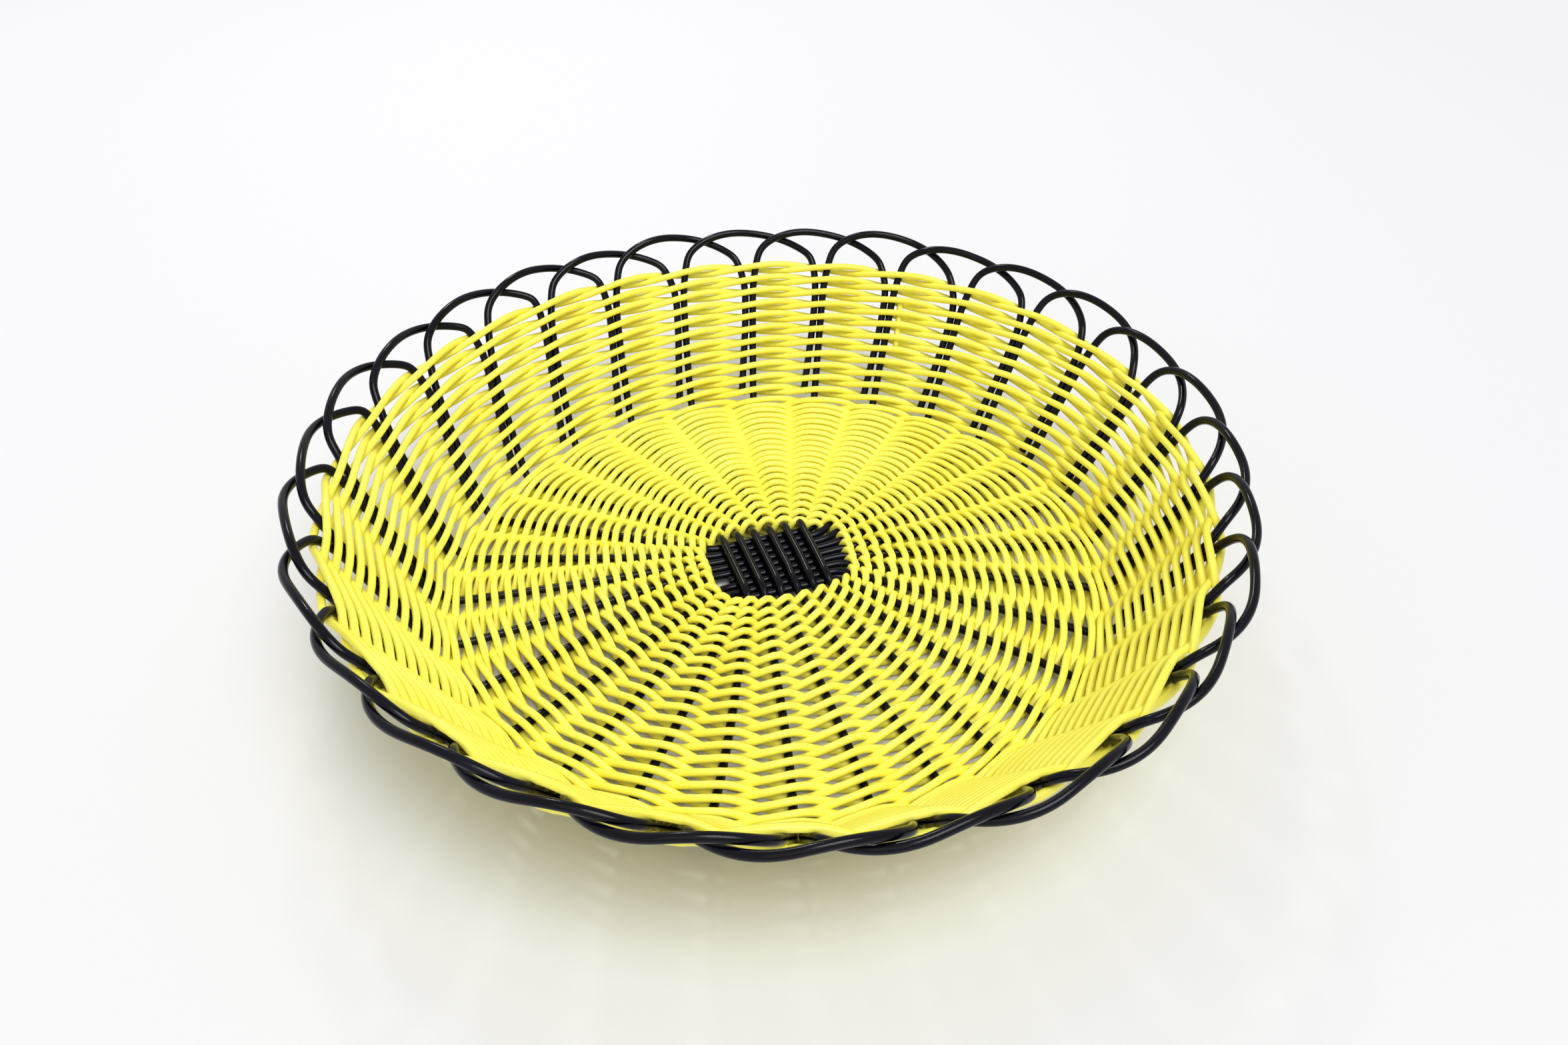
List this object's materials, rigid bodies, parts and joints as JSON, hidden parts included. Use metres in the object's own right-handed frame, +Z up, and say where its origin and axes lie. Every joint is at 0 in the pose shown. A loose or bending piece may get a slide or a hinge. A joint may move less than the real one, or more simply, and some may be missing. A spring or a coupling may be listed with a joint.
{
  "type": "display_basket",
  "caption": "Round open basket hand-woven from solid plastic strand: dark stakes laced together in a centre block, a twined floor and low flared wall, and a looped scalloped border.",
  "frame": {"origin": "middle of the outline, on the surface the basket stands on", "axes": "+Z up out of the open top; +X to the right and +Y to the back as the basket is seen from its front"},
  "size_m": [0.3264, 0.3402, 0.0709],
  "materials": {
    "stake_strand": "satin black extruded strand",
    "weave_strand": "glossy lemon yellow extruded strand"
  },
  "bodies": {
    "root": {"upper_strand_1": "stake_strand", "upper_strand_2": "stake_strand", "upper_strand_3": "stake_strand", "upper_strand_4": "stake_strand", "upper_strand_5": "stake_strand", "upper_strand_6": "stake_strand", "lower_strand_1": "stake_strand", "lower_strand_2": "stake_strand", "lower_strand_3": "stake_strand", "lower_strand_4": "stake_strand", "lower_strand_5": "stake_strand", "lower_strand_6": "stake_strand", "lower_strand_7": "stake_strand", "lower_strand_8": "stake_strand", "lower_strand_9": "stake_strand", "floor_weave_top": "weave_strand", "floor_weave_under": "weave_strand", "wall_weave_inner": "weave_strand", "wall_weave_outer": "weave_strand", "tucked_weaver_end": "weave_strand"}
  },
  "joints": []
}
